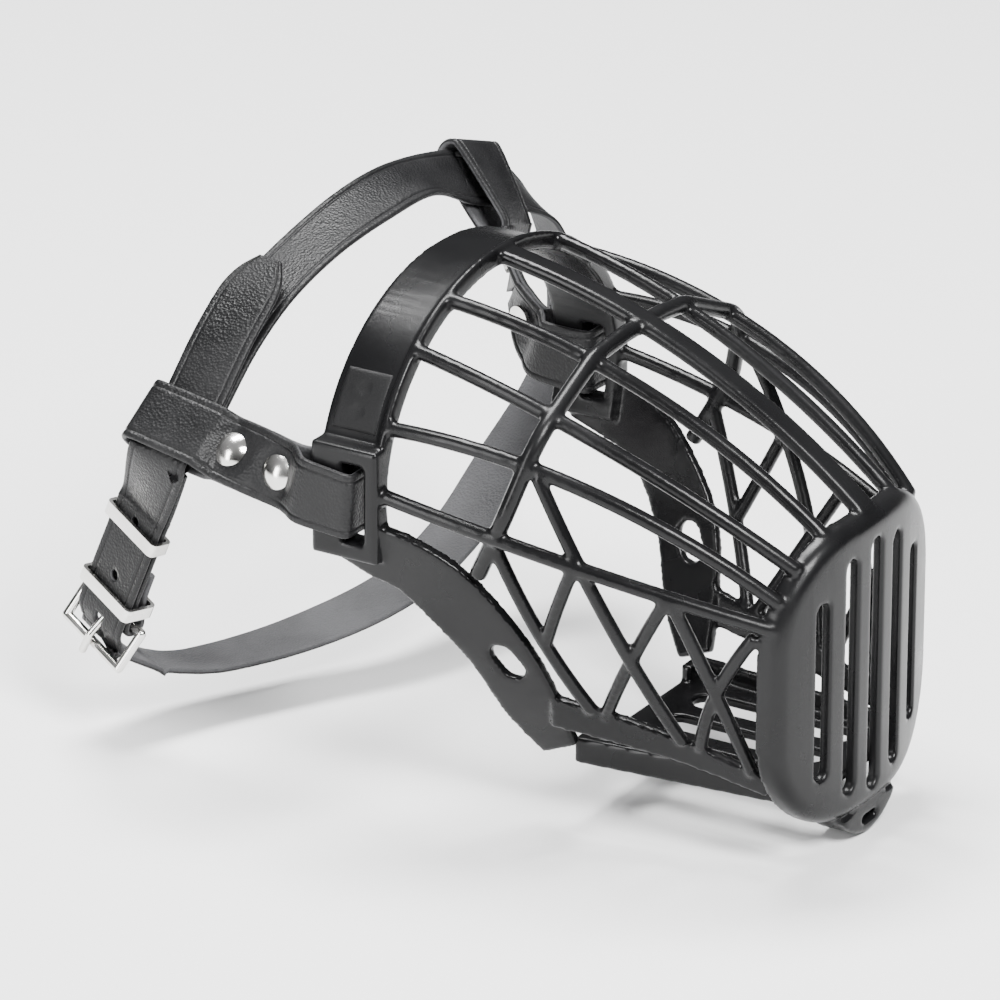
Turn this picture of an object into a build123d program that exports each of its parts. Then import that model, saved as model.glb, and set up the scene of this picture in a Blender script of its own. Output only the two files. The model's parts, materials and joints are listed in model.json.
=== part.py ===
from build123d import *
import os
from math import cos, radians, sin

# A moulded dog muzzle. The nose points along -Y, +Z is up, and the dog's right is -X.
# The origin is the centre of the rim's opening, at mid height of the two strap slots.

# Rim: an elliptical arch from slot to slot
RIM_HALF_WIDTH = 54.6
RIM_HEIGHT = 46.2
RIM_WALL = 2.4
RIM_BACK_Y = 10.5
RIM_FRONT_Y = -7.5
FLANGE_DEPTH = 2.0
FLANGE_RISE = 2.0

# Slot frames, one each side, at the foot of the rim
FRAME_OUTER_X = 57.5
FRAME_INNER_X = 53.0
FRAME_BACK_Y = 10.5
FRAME_FRONT_Y = -7.5
FRAME_HALF_HEIGHT = 14.0
SLOT_BACK_Y = 2.4
SLOT_FRONT_Y = -4.0
SLOT_HALF_HEIGHT = 10.0

# Ribs of the basket
RIB_RADIUS = 1.75
HOOP_RADIUS = 2.0
LATTICE_RADIUS = 1.6
CENTRE_RIB_WIDTH = 7.0
CENTRE_RIB_THICKNESS = 3.2
LOWER_WALL = 2.6
BACK_HOLE_LENGTH = 10.0
BACK_HOLE_WIDTH = 6.5
CRUMB = 3.0

# Nose plate: a rounded, slightly convex plate with a flange turned back round its edge
PLATE_WIDTH = 71.0
PLATE_HEIGHT = 75.0
PLATE_CORNER = 26.0
PLATE_TOP_Z = 2.0
PLATE_FRONT_Y = -109.6
PLATE_RADIUS = 110.0
PLATE_WALL = 2.8
FLANGE_BACK = 5.8
FRONT_FILLET = 4.0
SLOT_WIDTH = 5.0
SLOT_PITCH = 10.6
SLOT_SPANS = {0: (-68.5, -4.3), 1: (-66.0, -6.5), 2: (-59.0, -14.0)}
CHIN_RADIUS = 15.5
CHIN_CENTRE_Z = -64.0
CHIN_FRONT_Y = -109.0
CHIN_BACK_Y = -99.5

# Bottom tray
TRAY_BACK_Y = -45.0
TRAY_FRONT_Y = -104.0
TRAY_BACK_HALF = 29.0
TRAY_FRONT_HALF = 23.0
TRAY_BOTTOM_Z = -66.5
TRAY_WALL = 2.4
TRAY_SIDE_HEIGHT = 6.5
TRAY_SLOT_WIDTH = 8.0
TRAY_SLOT_LENGTH = 44.0
TRAY_SLOT_PITCH = 14.0

# Strap webbing
STRAP_WIDTH = 16.5
STRAP = 1.6
LAYER = 0.9
HOLE_RADIUS = 1.4
HOLE_SPACING = 16.5
TIP_HALF_WIDTHS = (8.0, 6.6, 3.4)

# Rivets
CAP_RADIUS = 4.2
CAP_HEIGHT = 1.7
POST_RADIUS = 1.5
BACK_RADIUS = 3.6
BACK_THICKNESS = 1.0
RIVET_PLACES = (22.0, 36.0)
PRESSED_IN = 0.2
RIVET_FACE = LAYER + STRAP / 2 - PRESSED_IN

# Buckle and keepers
BAR_RADIUS = 1.2
BUCKLE_LENGTH = 10.0
HEEL_OUT = -3.3
BUCKLE_HALF_WIDTH = 10.6
PRONG_RADIUS = 1.0
PRONG_FIT = 0.05
KEEPER_WIDTH = 3.4
KEEPER_WALL = 0.9
KEEPER_CLEARANCE = 0.4
FIXED_KEEPER_AT = 15.5
SLIDING_KEEPER_AT = 36.0

# The straight run of the neck strap through the buckle: start, way up, across and outward
BUCKLE_AT = Vector(-52.0, 78.0, -55.0)
UP = Vector(0.0, -0.385, 0.923).normalized()
ACROSS = Vector(0.27, 0.9, 0.3754).normalized()
OUTWARD = UP.cross(ACROSS)


def smooth(points, steps):
    """Points on a Catmull-Rom curve through the given points."""
    last = len(points) - 1
    curve = []
    for i in range(last):
        before = points[max(i - 1, 0)]
        here = points[i]
        there = points[i + 1]
        after = points[min(i + 2, last)]
        for k in range(steps):
            t = k / steps
            rise = (there - before) * t
            bend = (before * 2 - here * 5 + there * 4 - after) * t**2
            twist = (here * 3 - before - there * 3 + after) * t**3
            curve.append(here + (rise + bend + twist) * 0.5)
    return curve + [points[last]]


def band(centres, acrosses, thickness):
    """A flat band. Each across vector is half the band's width, from its centre to one edge."""
    last = len(centres) - 1
    sections = []
    for i, centre in enumerate(centres):
        along = (centres[min(i + 1, last)] - centres[max(i - 1, 0)]).normalized()
        across = acrosses[i] - along * acrosses[i].dot(along)
        plane = Plane(origin=centre, x_dir=across, z_dir=along)
        sections.append(plane * Rectangle(2 * acrosses[i].length, thickness))
    return loft(sections, ruled=True)


def edge_band(upper, lower, thickness, steps=3):
    """A flat band between two edges, each a list of points."""
    high = smooth([Vector(*p) for p in upper], steps)
    low = smooth([Vector(*p) for p in lower], steps)
    centres = [(h + l) * 0.5 for h, l in zip(high, low)]
    return band(centres, [h - c for h, c in zip(high, centres)], thickness)


def rod(start, middle, end, radius):
    """A round rib along an arc through three points."""
    path = ThreePointArc(start, middle, end)
    return sweep(Plane(origin=path @ 0, z_dir=path % 0) * Circle(radius), path=path)


def cut(piece, *tools):
    for tool in tools:
        piece = piece - tool
    return piece


def other_side(shape):
    return mirror(shape, about=Plane.YZ)


def facing(y):
    """A plane facing -Y at the given y, with X across and Z up."""
    return Plane(origin=(0, y, 0), x_dir=(1, 0, 0), z_dir=(0, -1, 0))


def block(low, high):
    """A box from its lowest corner to its highest."""
    low, high = Vector(*low), Vector(*high)
    size = high - low
    return Pos(*((low + high) * 0.5)) * Box(size.X, size.Y, size.Z)


# --- basket -------------------------------------------------------------------------------


def rim_ring():
    """The whole elliptical ring of the rim, with the flange round its front edge."""
    inner = Ellipse(RIM_HALF_WIDTH - RIM_WALL, RIM_HEIGHT - RIM_WALL)
    wall = Ellipse(RIM_HALF_WIDTH, RIM_HEIGHT) - inner
    flange = Ellipse(RIM_HALF_WIDTH + FLANGE_RISE, RIM_HEIGHT + FLANGE_RISE) - inner
    ring = extrude(facing(RIM_BACK_Y) * wall, amount=RIM_BACK_Y - RIM_FRONT_Y)
    return ring + extrude(facing(RIM_FRONT_Y + FLANGE_DEPTH) * flange, amount=FLANGE_DEPTH)


def rim_band():
    above = block((-80, -20, FRAME_HALF_HEIGHT), (80, 20, 80))
    return rim_ring() & above


def right_slot_frame():
    beside = block((-80, -20, -FRAME_HALF_HEIGHT), (0, 20, FRAME_HALF_HEIGHT))
    lip = block(
        (-FRAME_OUTER_X, FRAME_FRONT_Y, -FRAME_HALF_HEIGHT),
        (-FRAME_INNER_X, FRAME_BACK_Y, FRAME_HALF_HEIGHT),
    )
    slot = block((-80, SLOT_FRONT_Y, -SLOT_HALF_HEIGHT), (0, SLOT_BACK_Y, SLOT_HALF_HEIGHT))
    return (rim_ring() & beside) + lip - slot


def frame_space():
    """The block that the right slot frame and the tab's fold take up."""
    return block(
        (-FRAME_OUTER_X - 5, FRAME_FRONT_Y, -FRAME_HALF_HEIGHT),
        (-FRAME_INNER_X + 8, FRAME_BACK_Y + 1, FRAME_HALF_HEIGHT),
    )


def hoop():
    """The hoop half way along the basket, which leans back to the lower rim at each side."""
    side = [
        (-49.5, -30.5, -14), (-52.5, -39.5, 3.2), (-47.0, -45.5, 23), (-21, -44.4, 33.9), (-8, -45.0, 35.6),
    ]
    points = side + [(-x, y, z) for x, y, z in reversed(side)]
    path = FilletPolyline(*points, radius=14)
    return sweep(Plane(origin=path @ 0, z_dir=path % 0) * Circle(HOOP_RADIUS), path=path)


def plate_outline(inset=0.0):
    outline = RectangleRounded(
        PLATE_WIDTH - 2 * inset, PLATE_HEIGHT - 2 * inset, PLATE_CORNER - inset
    )
    return Pos(0, PLATE_TOP_Z - PLATE_HEIGHT / 2) * outline


def front_edges(solid):
    """The edges round the front face of the plate's outer shape."""
    return solid.faces().sort_by(Axis.Y)[0].edges()


def nose_plate():
    """Convex slotted plate, open at the back, inside a flange."""
    back = PLATE_FRONT_Y + PLATE_WIDTH / 2
    depth = back - PLATE_FRONT_Y + 1
    axis_at = Pos(0, PLATE_FRONT_Y + PLATE_RADIUS, PLATE_TOP_Z - PLATE_HEIGHT / 2)
    front, inside, behind = [
        axis_at * Cylinder(PLATE_RADIUS - step, 2 * PLATE_HEIGHT) for step in (0, PLATE_WALL, FLANGE_BACK)
    ]
    solid = extrude(facing(back) * plate_outline(), amount=depth) & front
    core = extrude(facing(back) * plate_outline(PLATE_WALL), amount=depth) & inside
    plate = fillet(front_edges(solid), FRONT_FILLET) - core - behind
    for i in range(-2, 3):
        low, high = SLOT_SPANS[abs(i)]
        slot = Pos(i * SLOT_PITCH, (low + high) / 2) * SlotOverall(high - low, SLOT_WIDTH, 90)
        plate = plate - extrude(facing(back) * slot, amount=depth)
    return plate


def chin_boss():
    """Rounded boss under the nose plate, with a small slot."""
    depth = CHIN_BACK_Y - CHIN_FRONT_Y
    disc = Pos(0, CHIN_CENTRE_Z) * Circle(CHIN_RADIUS)
    boss = extrude(facing(CHIN_BACK_Y) * disc, amount=depth)
    boss = boss & block((-30, -120, -95), (30, -80, PLATE_TOP_Z - PLATE_HEIGHT))
    small_slot = Pos(0, -76) * SlotOverall(7, 2)
    return boss - extrude(facing(CHIN_BACK_Y + 1) * small_slot, amount=depth + 2)


def centre_rib():
    path = ThreePointArc((0, RIM_FRONT_Y + 1, 46.0), (0, -52, 34.0), (0, -106.5, 1.0))
    section = RectangleRounded(CENTRE_RIB_THICKNESS, CENTRE_RIB_WIDTH, 1.4)
    start = Plane(origin=path @ 0, x_dir=(path % 0).cross(Vector(1, 0, 0)), z_dir=path % 0)
    return sweep(start * section, path=path)


def right_rib_rods():
    routes = [
        ((-24.3, -6.5, 41.9), (-20.7, -43.8, 33.2), (-15.7, -105.0, -0.8)),
        ((-38.3, -6.5, 33.8), (-40.0, -45.7, 25.4), (-26.9, -103.3, -4.8)),
        ((-50.5, -6.5, 18.2), (-48.4, -46.0, 15.4), (-32, -101.5, -11.5)),
        ((-54.5, -6.5, 3.0), (-50.4, -50, -4.8), (-33.8, -101.0, -17.5)),
    ]
    return [rod(*route, RIB_RADIUS) for route in routes]


def right_lower_rim():
    """The wide band that runs from the slot down to the back of the bottom tray."""
    upper = [
        (-54.4, 1, -6.2), (-54.2, -9, -5.9), (-53.3, -17, -7.3), (-50, -27, -14), (-45.2, -38.8, -28.4),
        (-38, -43.6, -44.9), (-32, -46.5, -58.6),
    ]
    lower = [
        (-52, 8.3, -14.6), (-52, -0.8, -18), (-50.5, -11.4, -21.8), (-48, -20.3, -29.6), (-42, -27.6, -41.7),
        (-35.5, -33, -55.8), (-31, -39, -64.5),
    ]
    rim = edge_band(upper, lower, LOWER_WALL)
    hole = SlotOverall(BACK_HOLE_LENGTH, BACK_HOLE_WIDTH, 60)
    side = Plane(origin=(-60, -35, -37.2), x_dir=(0, 1, 0), z_dir=(1, 0, 0))
    return rim - extrude(side * hole, amount=40)


def right_side_rail():
    """Flat rail between the lattice and the tray."""
    upper = [(-38, -44.1, -45.9), (-34.5, -60.5, -48.6), (-31.5, -78.3, -52.3), (-28.5, -97.5, -58)]
    lower = [(-36, -43.6, -54.0), (-33, -60.5, -55.8), (-30.2, -78.3, -58.2), (-27.5, -97.5, -62.6)]
    return edge_band(upper, lower, LOWER_WALL)


def right_lattice_rods():
    """Crossing diagonals: those running forward as they fall, then those running back."""
    forward = [
        ((-50.5, -36.0, -5.2), (-47, -42.7, -21.7), (-36.5, -54.1, -47.7)),
        ((-49.0, -46.6, 14), (-46.5, -62.0, -15.8), (-33, -76.9, -51.9)),
        ((-43.0, -79.0, -11.9), (-36.5, -87, -34.8), (-29.5, -94, -57.2)),
    ]
    back = [
        ((-49.3, -56.6, -6.2), (-47.6, -51.3, -17.8), (-44.8, -46.6, -28.6)),
        ((-43.5, -78.0, -11.9), (-41, -67.9, -29.2), (-35, -57.0, -49.2)),
        ((-35.3, -97.0, -19.6), (-36, -88.4, -33.9), (-31.5, -80.8, -52.8)),
    ]
    falling = [rod(*route, LATTICE_RADIUS) for route in forward]
    return falling, [rod(*route, LATTICE_RADIUS) for route in back]


def bottom_tray():
    """Tray with low sides under the jaw, with three long slots."""
    depth = TRAY_BACK_Y - TRAY_FRONT_Y
    outline = Polyline(
        (-TRAY_BACK_HALF, TRAY_BACK_Y),
        (TRAY_BACK_HALF, TRAY_BACK_Y),
        (TRAY_FRONT_HALF, TRAY_FRONT_Y),
        (-TRAY_FRONT_HALF, TRAY_FRONT_Y),
        close=True,
    )
    outer = make_face(outline)
    inner = offset(outer, amount=-TRAY_WALL)
    open_width = 2 * (TRAY_FRONT_HALF - TRAY_WALL)
    inner = inner + Pos(0, TRAY_BACK_Y - depth / 2) * Rectangle(open_width, depth + 9)
    tray = extrude(Pos(0, 0, TRAY_BOTTOM_Z) * outer, amount=TRAY_SIDE_HEIGHT)
    tray = tray - extrude(Pos(0, 0, TRAY_BOTTOM_Z + TRAY_WALL) * inner, amount=TRAY_SIDE_HEIGHT)
    for i in range(-1, 2):
        slot = Pos(i * TRAY_SLOT_PITCH, TRAY_BACK_Y - depth / 2) * SlotOverall(
            TRAY_SLOT_LENGTH, TRAY_SLOT_WIDTH, 90
        )
        tray = tray - extrude(Pos(0, 0, TRAY_BOTTOM_Z - 1) * slot, amount=2 * TRAY_SIDE_HEIGHT)
    return tray


# --- tabs and rivets ----------------------------------------------------------------------

# Middle line of each tab, at even distances from the slot to the fold of its loop, with the
# direction of its upper edge
TAB_LENGTH = 60.0
RIGHT_TAB = (
    [(-54.0, 0, 0), (-54.0, 14.8, 1.2), (-52.7, 30, 3.1), (-51.3, 45.3, 4.9), (-50.2, 62.6, 7.1)],
    [(0, 0, 1), (0.12, -0.1, 0.99), (0.52, -0.11, 0.84), (0.73, -0.11, 0.67), (0.745, -0.11, 0.66)],
)
LEFT_TAB = (
    [(54.1, 0, 0), (54.7, 13, 0.2), (57.2, 23, 6.5), (61.0, 28.3, 18.5), (66, 37, 29.8), (71.5, 48.6, 39.8)],
    [(0, 0, 1), (0, 0, 1), (-0.25, -0.4, 0.85), (-0.8, -0.3, 0.5), (-0.96, 0, 0.28), (-0.97, 0.1, 0.22)],
)
# Two corners of the right loop, cut away where the neck strap turns against them
LOOP_RELIEFS = [((-55.25, 58.3, -1.75), (-53.58, 63.55, 0.7)), ((-58.85, 55.8, 2.55), (-57.03, 61.5, 4.26))]
# Path of the strip in a tab: distance from the slot, and distance outward from the middle line
TAB_STRIP = [
    (28.3, -0.9), (20, -0.9), (16.5, -2.2), (12.5, -4.6), (6, -4.6), (1.2, -4.7), (-0.8, -3.8), (-0.8, 0),
    (-0.8, 4.2), (1.2, 5.1), (6, 5.1), (12.8, 5.2), (16.8, 2.6), (20, 0.9), (28, 0.9), (34, 0.9),
    (38, 0.9), (41, 3.0), (44, 3.6), (56.5, 3.6), (59.8, 2.5), (60.8, 0), (59.8, -2.5), (56.5, -3.6),
    (44, -3.6), (41, -3.0), (38, -0.9), (34, -0.9), (29.3, -0.9),
]


def tab_place(tab, distance):
    """Middle point, upper edge direction and outward direction of a tab at a distance."""
    points, uppers = tab
    spans = len(points) - 1
    steps = 120
    at = round(distance / TAB_LENGTH * spans * steps)
    curve = smooth([Vector(*p) for p in points], steps)
    ways = smooth([Vector(*u) for u in uppers], steps)
    inside = min(max(at, 0), spans * steps)
    middle = curve[inside]
    along = (curve[min(inside + 1, spans * steps)] - curve[max(inside - 1, 0)]).normalized()
    middle = middle + along * ((at - inside) * TAB_LENGTH / spans / steps)
    upper = (ways[inside] - along * ways[inside].dot(along)).normalized()
    outward = along.cross(upper)
    if outward.X * middle.X < 0:
        outward = outward * -1
    return middle, upper, outward


def tab_strip(tab):
    """A strip folded round the slot's rear bar, riveted, with a loop at its other end."""
    centres = []
    acrosses = []
    for distance, out in TAB_STRIP:
        middle, upper, outward = tab_place(tab, distance)
        centres.append(middle + outward * out)
        acrosses.append(upper * (STRAP_WIDTH / 2))
    strip = band(centres, acrosses, STRAP)
    for distance in RIVET_PLACES:
        plane = rivet_plane(tab, distance)
        strip = strip - plane * Cylinder(POST_RADIUS + 0.1, 12)
        strip = strip - plane * Pos(0, 0, RIVET_FACE + 2) * Cylinder(CAP_RADIUS + 0.15, 4)
        strip = strip - plane * Pos(0, 0, -RIVET_FACE - 2) * Cylinder(BACK_RADIUS + 0.15, 4)
    return strip


def rivet_plane(tab, distance):
    middle, upper, outward = tab_place(tab, distance)
    return Plane(origin=middle, x_dir=upper, z_dir=outward)


def rivet(plane):
    """A domed cap with its post, and the washer on the back."""
    face = RIVET_FACE
    ball_radius = (CAP_RADIUS**2 + CAP_HEIGHT**2) / (2 * CAP_HEIGHT)
    ball = Pos(0, 0, face + CAP_HEIGHT - ball_radius) * Sphere(ball_radius)
    dome = ball & Pos(0, 0, face + CAP_HEIGHT) * Cylinder(2 * CAP_RADIUS, 2 * CAP_HEIGHT)
    reach = face + BACK_THICKNESS
    post = Pos(0, 0, (face - reach) / 2) * Cylinder(POST_RADIUS, face + reach)
    washer = Pos(0, 0, -face - BACK_THICKNESS / 2) * Cylinder(BACK_RADIUS, BACK_THICKNESS)
    return plane * (dome + post), plane * (washer - post)


# --- neck strap, buckle and keepers -------------------------------------------------------


def buckle_point(up, out, across=0.0):
    """A point near the buckle: up the strap, outward and across it from the outer bar."""
    return BUCKLE_AT + UP * up + OUTWARD * out + ACROSS * across


# The ring that the strap makes between the loops of the tabs, over the neck and under the
# throat: its middle line, with the direction across the strap
RIGHT_LOOP_AT = 50.7
LEFT_LOOP_AT = 52.8
LOOP_RUN = 8.5
OVER_NECK = [
    ((-31.5, 51.0, 22.2), (0, 1, 0.05)),
    ((-17, 49.8, 31.0), (0, 1, 0)),
    ((0, 47.5, 38.0), (0, 1, 0.05)),
    ((20, 45.5, 42.3), (0, 0.97, 0.2)),
    ((40, 44.5, 43.0), (0, 0.96, 0.27)),
]
UNDER_THROAT = [
    ((86, 34.5, 22), (0.4, 0.88, 0.25)),
    ((89.5, 30.5, 5), (0.48, 0.87, 0)),
    ((85, 27, -11), (0.4, 0.9, 0)),
    ((77.5, 29.5, -26), (0.25, 0.95, 0)),
    ((66, 34.5, -41), (0.1, 0.99, 0)),
    ((48, 36.6, -53.5), (0.1, 0.99, 0)),
    ((25, 40, -61.4), (0.05, 1, 0)),
    ((0, 52, -67.2), (0, 1, 0)),
    ((-25, 65, -68.3), (0.1, 0.99, 0)),
    ((-40, 72.5, -63.8), (0.25, 0.95, 0.1)),
]
STEPS = 4
TAIL_STATIONS = 38
TIP_STATIONS = 12
TIP_LIFT = 4.5


def through_loop(tab, loop_at):
    """The straight run of the strap through a tab's loop, from its lower to its upper side."""
    middle, upper, outward = tab_place(tab, loop_at)
    across = outward.cross(upper)
    if across.Y < 0:
        across = across * -1
    return [(middle + upper * (LOOP_RUN * k), across) for k in (-1.05, -0.6, 0.6, 1.05)]


def ring_route():
    """Middle line and across direction of the ring, from the buckle round to the throat."""
    straight = [(BUCKLE_AT + UP * s, ACROSS) for s in (18.0, 30.0, 40.0, 44.0)]
    left_loop = through_loop(LEFT_TAB, LEFT_LOOP_AT)[::-1]
    right_loop = through_loop(RIGHT_TAB, RIGHT_LOOP_AT)
    rows = straight + right_loop + OVER_NECK + left_loop + UNDER_THROAT
    line = smooth([Vector(*row[0]) for row in rows], STEPS)
    across = smooth([Vector(*row[1]).normalized() for row in rows], STEPS)
    return line, across


def layer(line, across, out):
    """The middle of one layer of strap, moved outward from the ring's middle line."""
    last = len(line) - 1
    moved = []
    for i, point in enumerate(line):
        along = (line[min(i + 1, last)] - line[max(i - 1, 0)]).normalized()
        moved.append(point + along.cross(across[i]).normalized() * out)
    return moved


def heel_fold():
    """The strap's end, folded round the heel bar, in distances up and outward."""
    radius = BAR_RADIUS + STRAP / 2 + 0.35
    turn = [radians(a) for a in (270, 225, 180, 135, 90)]
    fold = [(BUCKLE_LENGTH + radius * cos(a), HEEL_OUT + radius * sin(a)) for a in turn]
    return [(26, -2.9), (20, -3.1), (14, -4.5)] + fold + [(13, -LAYER)]


def tail_rows():
    """Middle line and half widths of the tail, from the outer bar to its tip."""
    throat = [(0.8, -3.0), (2.6, -2.1), (4.6, -0.9), (7, 0.5), (9.8, LAYER), (13, LAYER)]
    line, across = ring_route()
    flat = layer(line, across, LAYER)[:TAIL_STATIONS]
    lifted = layer(line, across, LAYER + TIP_LIFT)[:TAIL_STATIONS]
    shares = [max(0, 1 - (TAIL_STATIONS - 1 - i) / TIP_STATIONS) ** 2 for i in range(TAIL_STATIONS)]
    tail = [low * (1 - share) + high * share for low, high, share in zip(flat, lifted, shares)]
    centres = [buckle_point(up, out) for up, out in throat] + tail
    acrosses = [ACROSS] * len(throat) + across[:TAIL_STATIONS]
    halves = [STRAP_WIDTH / 2] * (len(centres) - len(TIP_HALF_WIDTHS)) + list(TIP_HALF_WIDTHS)
    return centres, [a.normalized() * half for a, half in zip(acrosses, halves)]


def neck_strap():
    """One strap: folded end, round the ring, and back over itself to the tip."""
    line, across = ring_route()
    fold = heel_fold()
    tail, tail_halves = tail_rows()
    centres = [buckle_point(up, out) for up, out in fold] + layer(line, across, -LAYER) + tail
    halves = [a.normalized() * (STRAP_WIDTH / 2) for a in [ACROSS] * len(fold) + across]
    strap = band(centres, halves + tail_halves, STRAP)
    for hole in [fold_slit(), tongue_hole()] + punched_holes():
        strap = strap - hole
    return strap


def fold_slit():
    """The slit in the folded end that the prong's eye sits in."""
    plane = Plane(origin=buckle_point(9.4, -3.3), x_dir=ACROSS, z_dir=OUTWARD)
    return plane * Box(3.6, 6.4, 6.0)


def tongue_hole():
    """The hole in the tail that the prong goes through."""
    plane = Plane(origin=buckle_point(5.0, -1.0), x_dir=ACROSS, z_dir=OUTWARD)
    return plane * Box(3.0, 6.6, 5.0)


def punched_holes():
    """Spare holes in the tail's straight run."""
    places = [buckle_point(4.7 + HOLE_SPACING * k, LAYER) for k in (1, 2)]
    return [Plane(origin=p, z_dir=OUTWARD) * Cylinder(HOLE_RADIUS, STRAP + 0.1) for p in places]


def bar(start, end):
    """A round bar between two points."""
    way = end - start
    return Plane(origin=start, z_dir=way) * extrude(Circle(BAR_RADIUS), amount=way.length)


def heel_point(across):
    return buckle_point(BUCKLE_LENGTH, HEEL_OUT, across)


def buckle_frame():
    """Rectangular frame: outer bar, heel bar and two sides."""
    corners = [
        buckle_point(0, 0, -BUCKLE_HALF_WIDTH),
        buckle_point(0, 0, BUCKLE_HALF_WIDTH),
        heel_point(BUCKLE_HALF_WIDTH),
        heel_point(-BUCKLE_HALF_WIDTH),
    ]
    frame = Pos(*corners[0]) * Sphere(BAR_RADIUS)
    for start, end in zip(corners, corners[1:] + corners[:1]):
        frame = frame + bar(start, end)
        frame = frame + Pos(*end) * Sphere(BAR_RADIUS)
    return frame


def buckle_prong():
    """A prong with an eye round the heel bar, resting on the outer bar."""
    eye = Plane(origin=heel_point(0), z_dir=ACROSS)
    outer = eye * Cylinder(BAR_RADIUS + 1.1, 2.6)
    bore = eye * Cylinder(BAR_RADIUS + PRONG_FIT, 10)
    places = [(BUCKLE_LENGTH - 1.2, HEEL_OUT + 1.4), (2.6, 1.95), (-2.0, 2.45)]
    points = [buckle_point(up, out) for up, out in places]
    prong = outer
    for start, end in zip(points, points[1:]):
        way = end - start
        prong = prong + Plane(origin=start, z_dir=way) * extrude(Circle(PRONG_RADIUS), amount=way.length)
        prong = prong + Pos(*end) * Sphere(PRONG_RADIUS)
    return prong - bore


def keeper(at, inner, outer):
    """A flat metal loop round the strap, from its inner to its outer side."""
    depth = outer - inner + 2 * KEEPER_CLEARANCE
    width = STRAP_WIDTH + 2 * KEEPER_CLEARANCE
    hole = RectangleRounded(width, depth, 0.6)
    loop = RectangleRounded(width + 2 * KEEPER_WALL, depth + 2 * KEEPER_WALL, 1.4) - hole
    middle = buckle_point(at - KEEPER_WIDTH / 2, (inner + outer) / 2)
    plane = Plane(origin=middle, x_dir=ACROSS, z_dir=UP)
    return plane * extrude(loop, amount=KEEPER_WIDTH)


# --- assembly -----------------------------------------------------------------------------


def save(name, *shapes):
    """Writes a node, without the crumbs that a cut leaves behind."""
    solids = [solid for shape in shapes for solid in shape.solids() if solid.volume > CRUMB]
    whole = solids[0] if len(solids) == 1 else Compound(solids)
    export_step(whole, f"parts/{name}.step")


def save_basket():
    rim = rim_band()
    right_frame = right_slot_frame()
    left_frame = other_side(right_frame)
    plate = nose_plate()
    boss = cut(chin_boss(), plate)
    ring = hoop()
    tray = cut(bottom_tray(), plate, boss)
    lower = cut(right_lower_rim(), frame_space(), tray)
    ring = cut(ring, lower, other_side(lower))
    rail = cut(right_side_rail(), lower, plate, tray)
    ribs = [cut(r, right_frame, rim, ring, plate, lower) for r in right_rib_rods()]
    falling, rising = right_lattice_rods()
    falling = [cut(r, ring, *ribs, lower, rail, plate, tray) for r in falling]
    rising = [cut(r, ring, *falling, *ribs, lower, rail, plate, tray) for r in rising]
    centre = cut(centre_rib(), rim, ring, plate)
    save("rim_band", rim)
    save("nose_plate", plate)
    save("chin_boss", boss)
    save("bottom_tray", tray)
    save("mid_hoop", ring)
    save("centre_rib", centre)
    pieces = {
        "slot_frame": [right_frame],
        "lower_rim": [lower],
        "side_rail": [rail],
        "ribs": ribs,
        "lattice": falling + rising,
    }
    for name, shapes in pieces.items():
        save(f"right_{name}", *shapes)
        save(f"left_{name}", *[other_side(shape) for shape in shapes])


def save_harness():
    strap = neck_strap()
    caps = []
    washers = []
    for name, tab, reliefs in (("right_tab", RIGHT_TAB, LOOP_RELIEFS), ("left_tab", LEFT_TAB, [])):
        save(name, cut(tab_strip(tab), *[block(*relief) for relief in reliefs]))
        for distance in RIVET_PLACES:
            cap, washer = rivet(rivet_plane(tab, distance))
            caps.append(cap)
            washers.append(washer)
    save("rivet_caps", *caps)
    save("rivet_washers", *washers)
    save("neck_strap", strap)
    save("buckle_frame", buckle_frame())
    save("buckle_prong", buckle_prong())
    save("fixed_keeper", keeper(FIXED_KEEPER_AT, -5.0, LAYER + STRAP / 2))
    save("sliding_keeper", keeper(SLIDING_KEEPER_AT, -LAYER - STRAP / 2, LAYER + STRAP / 2))


os.makedirs("parts", exist_ok=True)
save_basket()
save_harness()
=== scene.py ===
import json
from math import ceil, cos, radians, sin, sqrt

import bmesh
import bpy
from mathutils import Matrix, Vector


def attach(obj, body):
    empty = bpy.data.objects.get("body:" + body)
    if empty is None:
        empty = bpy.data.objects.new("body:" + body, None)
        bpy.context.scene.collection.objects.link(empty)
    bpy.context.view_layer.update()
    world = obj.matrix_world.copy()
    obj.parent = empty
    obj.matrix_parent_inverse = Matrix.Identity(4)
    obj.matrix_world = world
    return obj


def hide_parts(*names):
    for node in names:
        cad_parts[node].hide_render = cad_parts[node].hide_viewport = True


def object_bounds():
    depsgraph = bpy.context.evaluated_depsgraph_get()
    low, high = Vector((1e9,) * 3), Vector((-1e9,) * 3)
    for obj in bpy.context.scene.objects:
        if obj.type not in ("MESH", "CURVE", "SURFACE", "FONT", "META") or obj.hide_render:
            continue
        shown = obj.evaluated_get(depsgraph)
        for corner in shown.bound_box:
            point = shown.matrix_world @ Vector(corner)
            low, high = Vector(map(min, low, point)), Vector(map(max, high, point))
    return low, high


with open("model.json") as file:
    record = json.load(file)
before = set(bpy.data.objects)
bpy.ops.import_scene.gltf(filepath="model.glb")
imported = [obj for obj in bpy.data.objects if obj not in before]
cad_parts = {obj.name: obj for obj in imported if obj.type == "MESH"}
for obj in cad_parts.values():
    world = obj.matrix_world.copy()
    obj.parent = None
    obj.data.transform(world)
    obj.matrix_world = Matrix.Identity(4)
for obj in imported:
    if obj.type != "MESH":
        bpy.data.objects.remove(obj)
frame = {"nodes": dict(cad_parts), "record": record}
cad_low, cad_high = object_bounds()
nodes = frame["nodes"]
groups = frame["record"]["behaviour"]["bodies"]
MM = 0.001
NOISE_LOW = 0.35
NOISE_HIGH = 0.65
BLACK_LOW = (0.0035, 0.0035, 0.0038)
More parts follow.
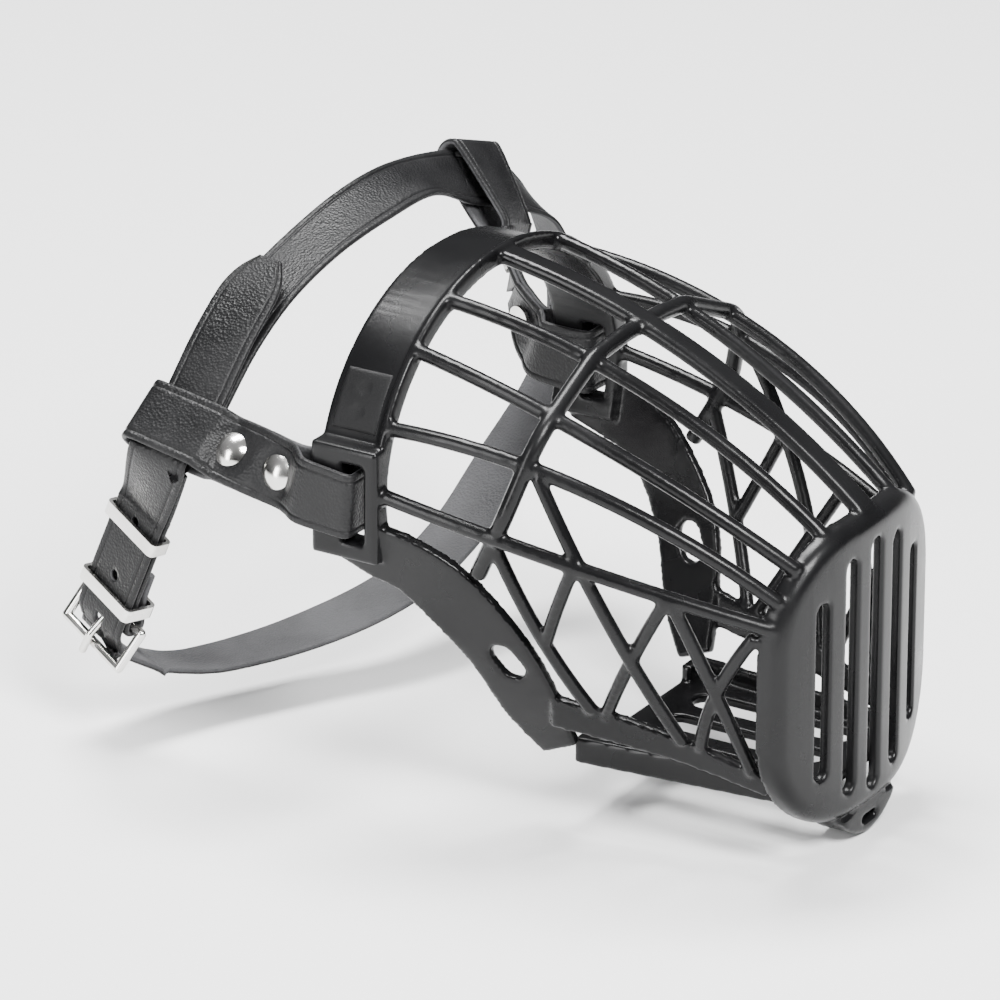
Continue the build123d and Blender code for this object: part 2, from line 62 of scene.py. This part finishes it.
BLACK_HIGH = (0.006, 0.006, 0.0064)


# --- materials ------------------------------------------------------------------------------


def new_material(name, color, roughness, metallic=0.0):
    mat = bpy.data.materials.new(name)
    mat.use_nodes = True
    bsdf = mat.node_tree.nodes["Principled BSDF"]
    bsdf.inputs["Base Color"].default_value = (*color, 1)
    bsdf.inputs["Roughness"].default_value = roughness
    bsdf.inputs["Metallic"].default_value = metallic
    return mat, mat.node_tree, bsdf


def noise(tree, scale, detail=4.0, kind="ShaderNodeTexNoise"):
    """A texture fixed to the object."""
    coord = tree.nodes.new("ShaderNodeTexCoord")
    tex = tree.nodes.new(kind)
    tex.inputs["Scale"].default_value = scale
    if kind == "ShaderNodeTexNoise":
        tex.inputs["Detail"].default_value = detail
    tree.links.new(coord.outputs["Object"], tex.inputs["Vector"])
    return tex


def to_range(tree, source, low, high):
    """Spreads the middle of a noise from low to high."""
    ramp = tree.nodes.new("ShaderNodeMapRange")
    ramp.inputs["From Min"].default_value = NOISE_LOW
    ramp.inputs["From Max"].default_value = NOISE_HIGH
    ramp.inputs["To Min"].default_value = low
    ramp.inputs["To Max"].default_value = high
    tree.links.new(source, ramp.inputs["Value"])
    return ramp.outputs["Result"]


def bump(tree, bsdf, heights, distance):
    """Adds the heights, each with its weight, as one bump."""
    total = None
    for source, weight in heights:
        scaled = tree.nodes.new("ShaderNodeMath")
        scaled.operation = "MULTIPLY"
        scaled.inputs[1].default_value = weight
        tree.links.new(source, scaled.inputs[0])
        if total is None:
            total = scaled.outputs[0]
        else:
            add = tree.nodes.new("ShaderNodeMath")
            add.operation = "ADD"
            tree.links.new(total, add.inputs[0])
            tree.links.new(scaled.outputs[0], add.inputs[1])
            total = add.outputs[0]
    node = tree.nodes.new("ShaderNodeBump")
    node.inputs["Strength"].default_value = 1.0
    node.inputs["Distance"].default_value = distance
    tree.links.new(total, node.inputs["Height"])
    tree.links.new(node.outputs["Normal"], bsdf.inputs["Normal"])


def mix_colors(tree, bsdf, source, low, high):
    mix = tree.nodes.new("ShaderNodeMix")
    mix.data_type = "RGBA"
    mix.inputs["A"].default_value = (*low, 1)
    mix.inputs["B"].default_value = (*high, 1)
    tree.links.new(to_range(tree, source, 0, 1), mix.inputs["Factor"])
    tree.links.new(mix.outputs["Result"], bsdf.inputs["Base Color"])


def plastic(name, rough_low, rough_high, grain):
    """Moulded black plastic: a faint skin texture with smudges that change the gloss."""
    mat, tree, bsdf = new_material(name, (0.011, 0.011, 0.012), 0.36)
    smudge = noise(tree, 34, 5)
    skin = noise(tree, 2600, 2)
    wave = noise(tree, 210, 3)
    mix_colors(tree, bsdf, smudge.outputs["Fac"], BLACK_LOW, BLACK_HIGH)
    roughness = to_range(tree, smudge.outputs["Fac"], rough_low, rough_high)
    tree.links.new(roughness, bsdf.inputs["Roughness"])
    bump(tree, bsdf, [(skin.outputs["Fac"], grain), (wave.outputs["Fac"], 0.6)], 0.00006)
    bsdf.inputs["Specular IOR Level"].default_value = 0.2
    return mat


def leather(name, dark, light, roughness, depth):
    """Coated strap with a pebbled grain."""
    mat, tree, bsdf = new_material(name, dark, roughness)
    pebble = noise(tree, 1500, kind="ShaderNodeTexVoronoi")
    crease = noise(tree, 420, 6)
    wear = noise(tree, 60, 5)
    mix_colors(tree, bsdf, wear.outputs["Fac"], dark, light)
    worn = to_range(tree, wear.outputs["Fac"], roughness - 0.07, roughness + 0.09)
    tree.links.new(worn, bsdf.inputs["Roughness"])
    bump(tree, bsdf, [(pebble.outputs["Distance"], 0.9), (crease.outputs["Fac"], 0.7)], depth)
    bsdf.inputs["Specular IOR Level"].default_value = 0.22
    return mat


def nickel(name):
    """Plated metal with a slight haze."""
    mat, tree, bsdf = new_material(name, (0.74, 0.73, 0.70), 0.2, 1.0)
    haze = noise(tree, 130, 5)
    fine = noise(tree, 1900, 3)
    mix_colors(tree, bsdf, haze.outputs["Fac"], (0.66, 0.65, 0.62), (0.80, 0.79, 0.77))
    tree.links.new(to_range(tree, haze.outputs["Fac"], 0.13, 0.28), bsdf.inputs["Roughness"])
    bump(tree, bsdf, [(fine.outputs["Fac"], 0.5)], 0.00003)
    return mat


BASKET = plastic("basket_plastic", 0.2, 0.33, 0.35)
SATIN = plastic("satin_pad", 0.46, 0.58, 1.6)
STRAP_FACE = leather("strap_face", (0.005, 0.005, 0.0054), (0.010, 0.010, 0.0105), 0.42, 0.00012)
STRAP_BACK = leather("strap_back", (0.040, 0.040, 0.042), (0.065, 0.065, 0.068), 0.62, 0.00016)
NICKEL = nickel("nickel")


# --- curves and ribbons, worked in millimetres ----------------------------------------------


def smooth(points, steps):
    """Points on a Catmull-Rom curve through the given points."""
    last = len(points) - 1
    curve = []
    for i in range(last):
        before, here = points[max(i - 1, 0)], points[i]
        there, after = points[i + 1], points[min(i + 2, last)]
        for k in range(steps):
            t = k / steps
            rise = (there - before) * t
            bend = (before * 2 - here * 5 + there * 4 - after) * t**2
            twist = (here * 3 - before - there * 3 + after) * t**3
            curve.append(here + (rise + bend + twist) * 0.5)
    return curve + [points[last]]


def finer(centres, halves, spacing):
    """The same band with its stations at most that far apart."""
    last = len(centres) - 1
    rows = []
    for i in range(last):
        steps = max(1, ceil((centres[i + 1] - centres[i]).length / spacing))
        ids = [max(i - 1, 0), i, i + 1, min(i + 2, last)]
        line = smooth([centres[j] for j in ids], steps)[steps : 2 * steps]
        sides = smooth([halves[j] for j in ids], steps)[steps : 2 * steps]
        rows += zip(line, sides)
    return rows + [(centres[last], halves[last])]


HALF = 8.25
EDGE_ROUND = 0.7
LINE_AT = 1.9
LINE_HALF = 0.4
LINE_DEPTH = 0.3
DENT = 0.35
DENT_RADIUS = 6.6
DENT_SLOPE = 1.3
DENT_REACH = 3
HOLE_REACH = 8
# Distances in from a strap's edge where its mesh has a row of vertices
EDGE_STEPS = [0, 0.12, 0.35, 0.7, 1.1, 1.5, 1.7, 1.9, 2.1, 2.3, 2.8, 3.7, 4.6, 5.4, 6.0, 6.55, 7.1, 7.65, 8.25]


def face_height(depth, thickness, line):
    """Height of a strap's face at a distance in from its edge, with or without the pressed line."""
    height = thickness / 2
    if depth < EDGE_ROUND:
        height *= sqrt(max(0, 1 - (1 - depth / EDGE_ROUND) ** 2))
    if line and abs(depth - LINE_AT) < LINE_HALF:
        height -= LINE_DEPTH * (1 - abs(depth - LINE_AT) / LINE_HALF)
    return height


def inside_hole(spot, hole):
    """Whether a spot is in a hole: (middle, half width, half length, depth, is it round)."""
    middle, wide, tall, deep, is_round = hole
    gap = spot - middle
    if gap.length > HOLE_REACH:
        return False
    across, up, out = gap.dot(ACROSS), gap.dot(UP), gap.dot(OUTWARD)
    if abs(out) > deep / 2:
        return False
    if is_round:
        return across**2 + up**2 < wide**2
    return abs(across) < wide and abs(up) < tall


def dent_depth(spot, dents):
    """How far the strap is pressed in at a spot by the rivets."""
    sink = 0.0
    for middle, axis in dents:
        gap = spot - middle
        high = gap.dot(axis)
        radius = sqrt(max(0, gap.length_squared - high**2))
        if abs(high) < DENT_REACH and radius < DENT_RADIUS:
            sink = max(sink, DENT * min(1, (DENT_RADIUS - radius) / DENT_SLOPE))
    return sink


def ribbon_grid(bm, rows, thickness, face_side, dents):
    """Vertices over both faces of a strap, as one (top, bottom) pair of lists per station."""
    last = len(rows) - 1
    columns = [(-1, d) for d in EDGE_STEPS] + [(1, d) for d in reversed(EDGE_STEPS[:-1])]
    grid = []
    for i, (centre, half) in enumerate(rows):
        along = (rows[min(i + 1, last)][0] - rows[max(i - 1, 0)][0]).normalized()
        across = half - along * half.dot(along)
        width = half.length
        across.normalize()
        normal = along.cross(across) * face_side
        top = []
        bottom = []
        for side, depth in columns:
            spot = centre + across * (side * width * (1 - depth / HALF))
            raised = face_height(depth, thickness, True) - dent_depth(spot, dents)
            top.append(bm.verts.new((spot + normal * raised) * MM))
            if depth > 0:
                bottom.append(bm.verts.new((spot - normal * face_height(depth, thickness, False)) * MM))
            else:
                bottom.append(top[-1])
        grid.append((top, bottom))
    return grid


def cells_in_holes(grid, holes):
    """The cells of the grid whose middle is in a hole, each with that hole."""
    gone = {}
    for i in range(len(grid) - 1):
        for j in range(len(grid[0][0]) - 1):
            corners = [grid[i + di][side][j + dj] for di in (0, 1) for dj in (0, 1) for side in (0, 1)]
            spot = sum((v.co for v in corners), Vector()) / (8 * MM)
            for hole in holes:
                if inside_hole(spot, hole):
                    gone[i, j] = hole
    return gone


def add_faces(bm, grid, gone):
    """Both faces of the strap, without the cells in its holes."""
    for i in range(len(grid) - 1):
        for j in range(len(grid[0][0]) - 1):
            (top, bottom), (top2, bottom2) = grid[i], grid[i + 1]
            if (i, j) not in gone:
                bm.faces.new((top[j], top[j + 1], top2[j + 1], top2[j]))
                back = bm.faces.new((bottom[j + 1], bottom[j], bottom2[j], bottom2[j + 1]))
                back.material_index = 1


def add_hole_walls(bm, grid, gone):
    """The walls of the holes, with the vertices of the round ones moved onto a circle."""
    walls = {}
    for (i, j), hole in gone.items():
        sides = {(i - 1, j): ((i, j), (i, j + 1)), (i + 1, j): ((i + 1, j), (i + 1, j + 1))}
        sides.update({(i, j - 1): ((i, j), (i + 1, j)), (i, j + 1): ((i, j + 1), (i + 1, j + 1))})
        for beyond, ((i1, j1), (i2, j2)) in sides.items():
            if beyond not in gone:
                corners = [grid[i1][0][j1], grid[i2][0][j2], grid[i2][1][j2], grid[i1][1][j1]]
                bm.faces.new(corners).material_index = 1
                walls.update({v: hole for v in corners})
    for vert, (middle, wide, _, _, is_round) in walls.items():
        if is_round:
            gap = vert.co / MM - middle
            flat = ACROSS * gap.dot(ACROSS) + UP * gap.dot(UP)
            vert.co += flat * (wide / flat.length - 1) * MM


def add_ends(bm, grid):
    for top, bottom in (grid[0], grid[-1]):
        for j in range(len(top) - 1):
            corners = list(dict.fromkeys([top[j], top[j + 1], bottom[j + 1], bottom[j]]))
            if len(corners) > 2:
                bm.faces.new(corners).material_index = 1


def ribbon(name, centres, halves, thickness, face_side=1, spacing=1.0, dents=(), holes=()):
    """A strap with rounded edges and a pressed line along both. face_side is 1 if the
    finished face is on the side of along x across, and -1 if it is the other one."""
    bm = bmesh.new()
    grid = ribbon_grid(bm, finer(centres, halves, spacing), thickness, face_side, dents)
    gone = cells_in_holes(grid, holes)
    add_faces(bm, grid, gone)
    add_hole_walls(bm, grid, gone)
    add_ends(bm, grid)
    bmesh.ops.recalc_face_normals(bm, faces=bm.faces)
    return finish_mesh(name, bm, [STRAP_FACE, STRAP_BACK])


def mesh_object(name, mesh, materials):
    """A smooth-shaded object with these materials, in the scene."""
    for material in materials:
        mesh.materials.append(material)
    for polygon in mesh.polygons:
        polygon.use_smooth = True
    obj = bpy.data.objects.new(name, mesh)
    bpy.context.scene.collection.objects.link(obj)
    return obj


def finish_mesh(name, bm, materials):
    mesh = bpy.data.meshes.new(name)
    bm.to_mesh(mesh)
    bm.free()
    return mesh_object(name, mesh, materials)


def evaluated(obj, name, materials):
    """A plain mesh object from obj with its modifiers applied. obj is removed."""
    graph = bpy.context.evaluated_depsgraph_get()
    mesh = bpy.data.meshes.new_from_object(obj.evaluated_get(graph))
    bpy.data.objects.remove(obj)
    mesh.materials.clear()
    return mesh_object(name, mesh, materials)


# --- basket: one moulding -------------------------------------------------------------------

WELD = 1e-6
VOXEL = 0.0006
GROWTH = 0.00012
FACES_KEPT = 0.42

def basket_moulding():
    """The basket's pieces run together as one moulding, with blended joints and soft edges."""
    bm = bmesh.new()
    for name in groups["basket"]:
        bm.from_mesh(nodes[name].data)
    bmesh.ops.remove_doubles(bm, verts=bm.verts, dist=WELD)
    rough = finish_mesh("basket_rough", bm, [BASKET])
    remesh = rough.modifiers.new("remesh", "REMESH")
    remesh.mode = "VOXEL"
    remesh.voxel_size = VOXEL
    soften = rough.modifiers.new("soften", "SMOOTH")
    soften.factor = 0.5
    soften.iterations = 5
    grow = rough.modifiers.new("grow", "DISPLACE")
    grow.mid_level = 0.0
    grow.strength = GROWTH
    thin = rough.modifiers.new("thin", "DECIMATE")
    thin.ratio = FACES_KEPT
    return evaluated(rough, "basket_moulding", [BASKET])


RIM_HALF_WIDTH = 54.6
RIM_HEIGHT = 46.2
PAD_STEPS = 34
PAD_START_ANGLE = 20
PAD_ANGLE = 18
PAD_START_Y = -3.6
PAD_WIDTH = 12.4
PAD_ARC = 16
PAD_RISE = 0.38
PAD_BEVEL = 0.07
PAD_SINK = 0.3
DIMPLES = [0.32, 0.7]
DIMPLE_RADIUS = 2.0
DIMPLE_DEPTH = 0.3


def pad_height(u, v):
    """Height of the pad above the rim, u of the way round it and v of the way across."""
    edge = min(u, 1 - u, v, 1 - v)
    height = PAD_RISE * min(1, edge / PAD_BEVEL) ** 0.5 + 0.02
    for place_round in DIMPLES:
        radius = sqrt(((u - place_round) * PAD_ARC) ** 2 + ((v - 0.5) * PAD_WIDTH) ** 2)
        height -= DIMPLE_DEPTH * max(0, 1 - radius / DIMPLE_RADIUS) ** 0.5
    return height


def pad_row(bm, u):
    """Top and bottom vertices across the pad, u of the way round it."""
    angle = radians(PAD_START_ANGLE + PAD_ANGLE * u)
    normal = Vector((-cos(angle) * RIM_HEIGHT, 0, sin(angle) * RIM_HALF_WIDTH)).normalized()
    row = []
    for j in range(PAD_STEPS + 1):
        v = j / PAD_STEPS
        y = PAD_START_Y + PAD_WIDTH * v
        point = Vector((-RIM_HALF_WIDTH * cos(angle), y, RIM_HEIGHT * sin(angle)))
        top = bm.verts.new((point + normal * pad_height(u, v)) * MM)
        low = bm.verts.new((point - normal * PAD_SINK) * MM)
        row.append((top, low))
    return row


def size_pad():
    """A plain satin pad on the near end of the rim, with two round dimples."""
    bm = bmesh.new()
    grid = [pad_row(bm, i / PAD_STEPS) for i in range(PAD_STEPS + 1)]
    for i in range(PAD_STEPS):
        for j in range(PAD_STEPS):
            a, b, c, d = grid[i][j], grid[i][j + 1], grid[i + 1][j + 1], grid[i + 1][j]
            bm.faces.new((a[0], b[0], c[0], d[0]))
            bm.faces.new((d[1], c[1], b[1], a[1]))
    rim = [grid[0][j] for j in range(PAD_STEPS + 1)]
    rim += [grid[i][PAD_STEPS] for i in range(1, PAD_STEPS + 1)]
    rim += [grid[PAD_STEPS][j] for j in range(PAD_STEPS - 1, -1, -1)]
    rim += [grid[i][0] for i in range(PAD_STEPS - 1, 0, -1)]
    for a, b in zip(rim, rim[1:] + rim[:1]):
        bm.faces.new((a[0], a[1], b[1], b[0]))
    bmesh.ops.recalc_face_normals(bm, faces=bm.faces)
    return finish_mesh("size_pad", bm, [SATIN])


# --- tabs -----------------------------------------------------------------------------------

STRAP = 1.6
LAYER = 0.9
RIVET_PLACES = (22.0, 36.0)
TAB_LENGTH = 60.0
CURVE_STEPS = 120
TAB_SPACING = 0.8
# Middle line of each tab from the slot to the fold of its loop, and its upper edge's direction
RIGHT_TAB = (
    [(-54.0, 0, 0), (-54.0, 14.8, 1.2), (-52.7, 30, 3.1), (-51.3, 45.3, 4.9), (-50.2, 62.6, 7.1)],
    [(0, 0, 1), (0.12, -0.1, 0.99), (0.52, -0.11, 0.84), (0.73, -0.11, 0.67), (0.745, -0.11, 0.66)],
)
LEFT_TAB = (
    [(54.1, 0, 0), (54.7, 13, 0.2), (57.2, 23, 6.5), (61.0, 28.3, 18.5), (66, 37, 29.8), (71.5, 48.6, 39.8)],
    [(0, 0, 1), (0, 0, 1), (-0.25, -0.4, 0.85), (-0.8, -0.3, 0.5), (-0.96, 0, 0.28), (-0.97, 0.1, 0.22)],
)
# Path of the strip in a tab: distance from the slot, and distance outward
TAB_STRIP = [
    (28.3, -0.9), (20, -0.9), (16.5, -2.2), (12.5, -4.6), (6, -4.6), (1.2, -4.7), (-0.8, -3.8), (-0.8, 0),
    (-0.8, 4.2), (1.2, 5.1), (6, 5.1), (12.8, 5.2), (16.8, 2.6), (20, 0.9), (28, 0.9), (34, 0.9),
    (38, 0.9), (41, 3.0), (44, 3.6), (56.5, 3.6), (59.8, 2.5), (60.8, 0), (59.8, -2.5), (56.5, -3.6),
    (44, -3.6), (41, -3.0), (38, -0.9), (34, -0.9), (29.3, -0.9),
]


def tab_place(tab, distance):
    """Middle point, upper edge direction and outward direction of a tab at a distance."""
    points, uppers = tab
    spans = len(points) - 1
    at = round(distance / TAB_LENGTH * spans * CURVE_STEPS)
    curve = smooth([Vector(p) for p in points], CURVE_STEPS)
    ways = smooth([Vector(u) for u in uppers], CURVE_STEPS)
    end = spans * CURVE_STEPS
    inside = min(max(at, 0), end)
    middle = curve[inside]
    along = (curve[min(inside + 1, end)] - curve[max(inside - 1, 0)]).normalized()
    middle = middle + along * ((at - inside) * TAB_LENGTH / spans / CURVE_STEPS)
    upper = (ways[inside] - along * ways[inside].dot(along)).normalized()
    outward = along.cross(upper)
    if outward.x * middle.x < 0:
        outward = outward * -1
    return middle, upper, outward


def tab_ribbon(name, tab, face_side):
    """A tab's strip, pressed in round its rivets."""
    centres = []
    halves = []
    for distance, out in TAB_STRIP:
        middle, upper, outward = tab_place(tab, distance)
        centres.append(middle + outward * out)
        halves.append(upper * HALF)
    dents = []
    for distance in RIVET_PLACES:
        middle, _, outward = tab_place(tab, distance)
        dents.append((middle + outward * LAYER, outward))
    return ribbon(name, centres, halves, STRAP, face_side, TAB_SPACING, dents)


# --- neck strap -----------------------------------------------------------------------------

BUCKLE_AT = Vector((-52.0, 78.0, -55.0))
UP = Vector((0.0, -0.385, 0.923)).normalized()
ACROSS = Vector((0.27, 0.9, 0.3754)).normalized()
OUTWARD = UP.cross(ACROSS)
BUCKLE_LENGTH = 10.0
HEEL_OUT = -3.3
RIGHT_LOOP_AT = 50.7
LEFT_LOOP_AT = 52.8
LOOP_RUN = 8.5
# Middle of the ring and the direction across it, over the neck and under the throat
OVER_NECK = [
    ((-31.5, 51.0, 22.2), (0, 1, 0.05)),
    ((-17, 49.8, 31.0), (0, 1, 0)),
    ((0, 47.5, 38.0), (0, 1, 0.05)),
    ((20, 45.5, 42.3), (0, 0.97, 0.2)),
    ((40, 44.5, 43.0), (0, 0.96, 0.27)),
]
UNDER_THROAT = [
    ((86, 34.5, 22), (0.4, 0.88, 0.25)),
    ((89.5, 30.5, 5), (0.48, 0.87, 0)),
    ((85, 27, -11), (0.4, 0.9, 0)),
    ((77.5, 29.5, -26), (0.25, 0.95, 0)),
    ((66, 34.5, -41), (0.1, 0.99, 0)),
    ((48, 36.6, -53.5), (0.1, 0.99, 0)),
    ((25, 40, -61.4), (0.05, 1, 0)),
    ((0, 52, -67.2), (0, 1, 0)),
    ((-25, 65, -68.3), (0.1, 0.99, 0)),
    ((-40, 72.5, -63.8), (0.25, 0.95, 0.1)),
]
STEPS = 4
TAIL_STATIONS = 38
TIP_STATIONS = 12
TIP_LIFT = 4.5
TIP_HALF_WIDTHS = [8.0, 6.6, 3.4]
FOLD_RADIUS = 2.35
NECK_THICKNESS = 1.4
NECK_SPACING = 0.6
HOLE_RADIUS = 1.4
HOLE_SPACING = 16.5
FIRST_HOLE = 4.7


def buckle_point(up, out):
    """A point near the buckle: up the strap and outward from the outer bar."""
    return BUCKLE_AT + UP * up + OUTWARD * out


def through_loop(tab, loop_at):
    """The straight run through a tab's loop, from its lower to its upper side."""
    middle, upper, outward = tab_place(tab, loop_at)
    across = outward.cross(upper)
    if across.y < 0:
        across = across * -1
    return [(middle + upper * (LOOP_RUN * k), across) for k in (-1.05, -0.6, 0.6, 1.05)]


def ring_route():
    """Middle line and across direction of the ring, from the buckle round to the throat."""
    straight = [(BUCKLE_AT + UP * s, ACROSS) for s in (18.0, 30.0, 40.0, 44.0)]
    right_loop = through_loop(RIGHT_TAB, RIGHT_LOOP_AT)
    left_loop = through_loop(LEFT_TAB, LEFT_LOOP_AT)[::-1]
    rows = straight + right_loop + OVER_NECK + left_loop + UNDER_THROAT
    line = smooth([Vector(row[0]) for row in rows], STEPS)
    across = smooth([Vector(row[1]).normalized() for row in rows], STEPS)
    return line, across


def layer(line, across, out):
    """One layer of strap, moved outward from the ring's middle line."""
    last = len(line) - 1
    moved = []
    for i, point in enumerate(line):
        along = (line[min(i + 1, last)] - line[max(i - 1, 0)]).normalized()
        moved.append(point + along.cross(across[i]).normalized() * out)
    return moved


def heel_fold():
    """The strap's end round the heel bar, in distances up and outward."""
    turn = [radians(a) for a in (270, 225, 180, 135, 90)]
    fold = [(26, -2.9), (20, -3.1), (14, -4.5)]
    fold += [(BUCKLE_LENGTH + FOLD_RADIUS * cos(a), HEEL_OUT + FOLD_RADIUS * sin(a)) for a in turn]
    return fold + [(13, -LAYER)]


def strap_rows():
    """Stations of the whole neck strap: folded end, ring, and tail back over itself."""
    line, across = ring_route()
    fold = heel_fold()
    throat = [(0.8, -3.0), (2.6, -2.1), (4.6, -0.9), (7, 0.5), (9.8, LAYER), (13, LAYER)]
    flat = layer(line, across, LAYER)[:TAIL_STATIONS]
    lifted = layer(line, across, LAYER + TIP_LIFT)[:TAIL_STATIONS]
    shares = [max(0, 1 - (TAIL_STATIONS - 1 - i) / TIP_STATIONS) ** 2 for i in range(TAIL_STATIONS)]
    tail = [low * (1 - share) + high * share for low, high, share in zip(flat, lifted, shares)]
    centres = [buckle_point(*p) for p in fold] + layer(line, across, -LAYER)
    centres += [buckle_point(*p) for p in throat] + tail
    ways = [ACROSS] * len(fold) + across + [ACROSS] * len(throat) + across[:TAIL_STATIONS]
    widths = [HALF] * (len(centres) - len(TIP_HALF_WIDTHS)) + TIP_HALF_WIDTHS
    return centres, [way.normalized() * width for way, width in zip(ways, widths)]


def strap_holes():
    """The prong's two slits and the spare holes: middle, half width, half length, depth, round."""
    tongue = (buckle_point(5.2, -1.0), 1.5, 4.0, 6.0, False)
    eye = (buckle_point(9.4, -3.3), 1.8, 3.2, 6.0, False)
    middles = [buckle_point(FIRST_HOLE + HOLE_SPACING * k, LAYER) for k in (1, 2)]
    return [tongue, eye] + [(m, HOLE_RADIUS, HOLE_RADIUS, STRAP + 0.3, True) for m in middles]


# --- assembly -------------------------------------------------------------------------------

METAL = ["rivet_caps", "rivet_washers", "buckle_frame", "buckle_prong", "fixed_keeper", "sliding_keeper"]
KEEPERS = ["fixed_keeper", "sliding_keeper"]


def place(obj, body, slot, *stands_for):
    """Puts a piece on a body and hides the nodes it stands for. slot is not used."""
    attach(obj, body)
    if stands_for:
        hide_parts(*stands_for)


place(basket_moulding(), "basket", "basket_plastic", *groups["basket"])
place(size_pad(), "basket", "basket_plastic")
place(tab_ribbon("right_tab_strap", RIGHT_TAB, -1), "harness", "strap", "right_tab")
place(tab_ribbon("left_tab_strap", LEFT_TAB, 1), "harness", "strap", "left_tab")
strap_centres, strap_halves = strap_rows()
neck = ribbon(
    "neck_strap_ribbon", strap_centres, strap_halves, NECK_THICKNESS, spacing=NECK_SPACING, holes=strap_holes()
)
place(neck, "harness", "strap", "neck_strap")

for name in METAL:
    metal = nodes[name]
    metal.data.materials.clear()
    metal.data.materials.append(NICKEL)
for name in KEEPERS:
    soft_edge = nodes[name].modifiers.new("soft_edge", "BEVEL")
    soft_edge.width = 0.0003
    soft_edge.segments = 3
    soft_edge.limit_method = "ANGLE"
    soft_edge.angle_limit = radians(50)


# --- studio ---------------------------------------------------------------------------------

visual_low, visual_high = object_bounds()


AIM = Vector((0, -0.02, -0.01))
FLOOR_HALF = 4
FLOOR_GAP = 0.0005
CAMERA_AZIMUTH = radians(-58)
CAMERA_ELEVATION = radians(22)
CAMERA_DISTANCE = 1.7
SENSOR_WIDTH = 36
# How many picture widths a metre at the origin would fill
VIEW_SCALE = 4.165


def floor_plane():
    bm = bmesh.new()
    z = min(cad_low[2], visual_low[2]) - FLOOR_GAP
    corners = ((-1, -1), (1, -1), (1, 1), (-1, 1))
    bm.faces.new([bm.verts.new((x * FLOOR_HALF, y * FLOOR_HALF, z)) for x, y in corners])
    material = new_material("floor", (0.9, 0.9, 0.9), 0.75)[0]
    return finish_mesh("floor", bm, [material])


def area_light(name, place_at, size, power):
    data = bpy.data.lights.new(name, "AREA")
    data.shape = "RECTANGLE"
    data.size, data.size_y = size
    data.energy = power
    light = bpy.data.objects.new(name, data)
    light.location = place_at
    light.rotation_euler = (AIM - Vector(place_at)).to_track_quat("-Z", "Y").to_euler()
    bpy.context.scene.collection.objects.link(light)


def studio_world():
    """Soft light from above that falls off towards and below the horizon."""
    world = bpy.data.worlds.new("studio")
    bpy.context.scene.world = world
    world.use_nodes = True
    tree = world.node_tree
    way = tree.nodes.new("ShaderNodeTexCoord")
    height = tree.nodes.new("ShaderNodeSeparateXYZ")
    tree.links.new(way.outputs["Generated"], height.inputs["Vector"])
    ramp = tree.nodes.new("ShaderNodeValToRGB")
    low, high = ramp.color_ramp.elements
    low.position = 0.0
    low.color = (0.10, 0.10, 0.105, 1)
    high.position = 0.75
    high.color = (0.95, 0.96, 0.98, 1)
    tree.links.new(height.outputs["Z"], ramp.inputs["Fac"])
    tree.links.new(ramp.outputs["Color"], tree.nodes["Background"].inputs["Color"])
    tree.nodes["Background"].inputs["Strength"].default_value = 0.34


def add_camera():
    camera = bpy.data.objects.new("camera", bpy.data.cameras.new("camera"))
    level = cos(CAMERA_ELEVATION)
    way = Vector((sin(CAMERA_AZIMUTH) * level, -cos(CAMERA_AZIMUTH) * level, sin(CAMERA_ELEVATION)))
    camera.location = way * CAMERA_DISTANCE
    camera.rotation_euler = (-camera.location).to_track_quat("-Z", "Y").to_euler()
    camera.data.sensor_width = SENSOR_WIDTH
    camera.data.lens = SENSOR_WIDTH * VIEW_SCALE * CAMERA_DISTANCE
    camera.data.shift_x = 0.021
    camera.data.shift_y = -0.0735
    bpy.context.scene.collection.objects.link(camera)
    bpy.context.scene.camera = camera


floor_plane()
area_light("key", (-0.5, -0.9, 1.1), (0.5, 0.5), 52)
area_light("over", (0.25, 0.35, 1.2), (0.7, 0.4), 44)
area_light("side", (-1.2, 0.4, 0.35), (0.35, 0.9), 15)
studio_world()
add_camera()
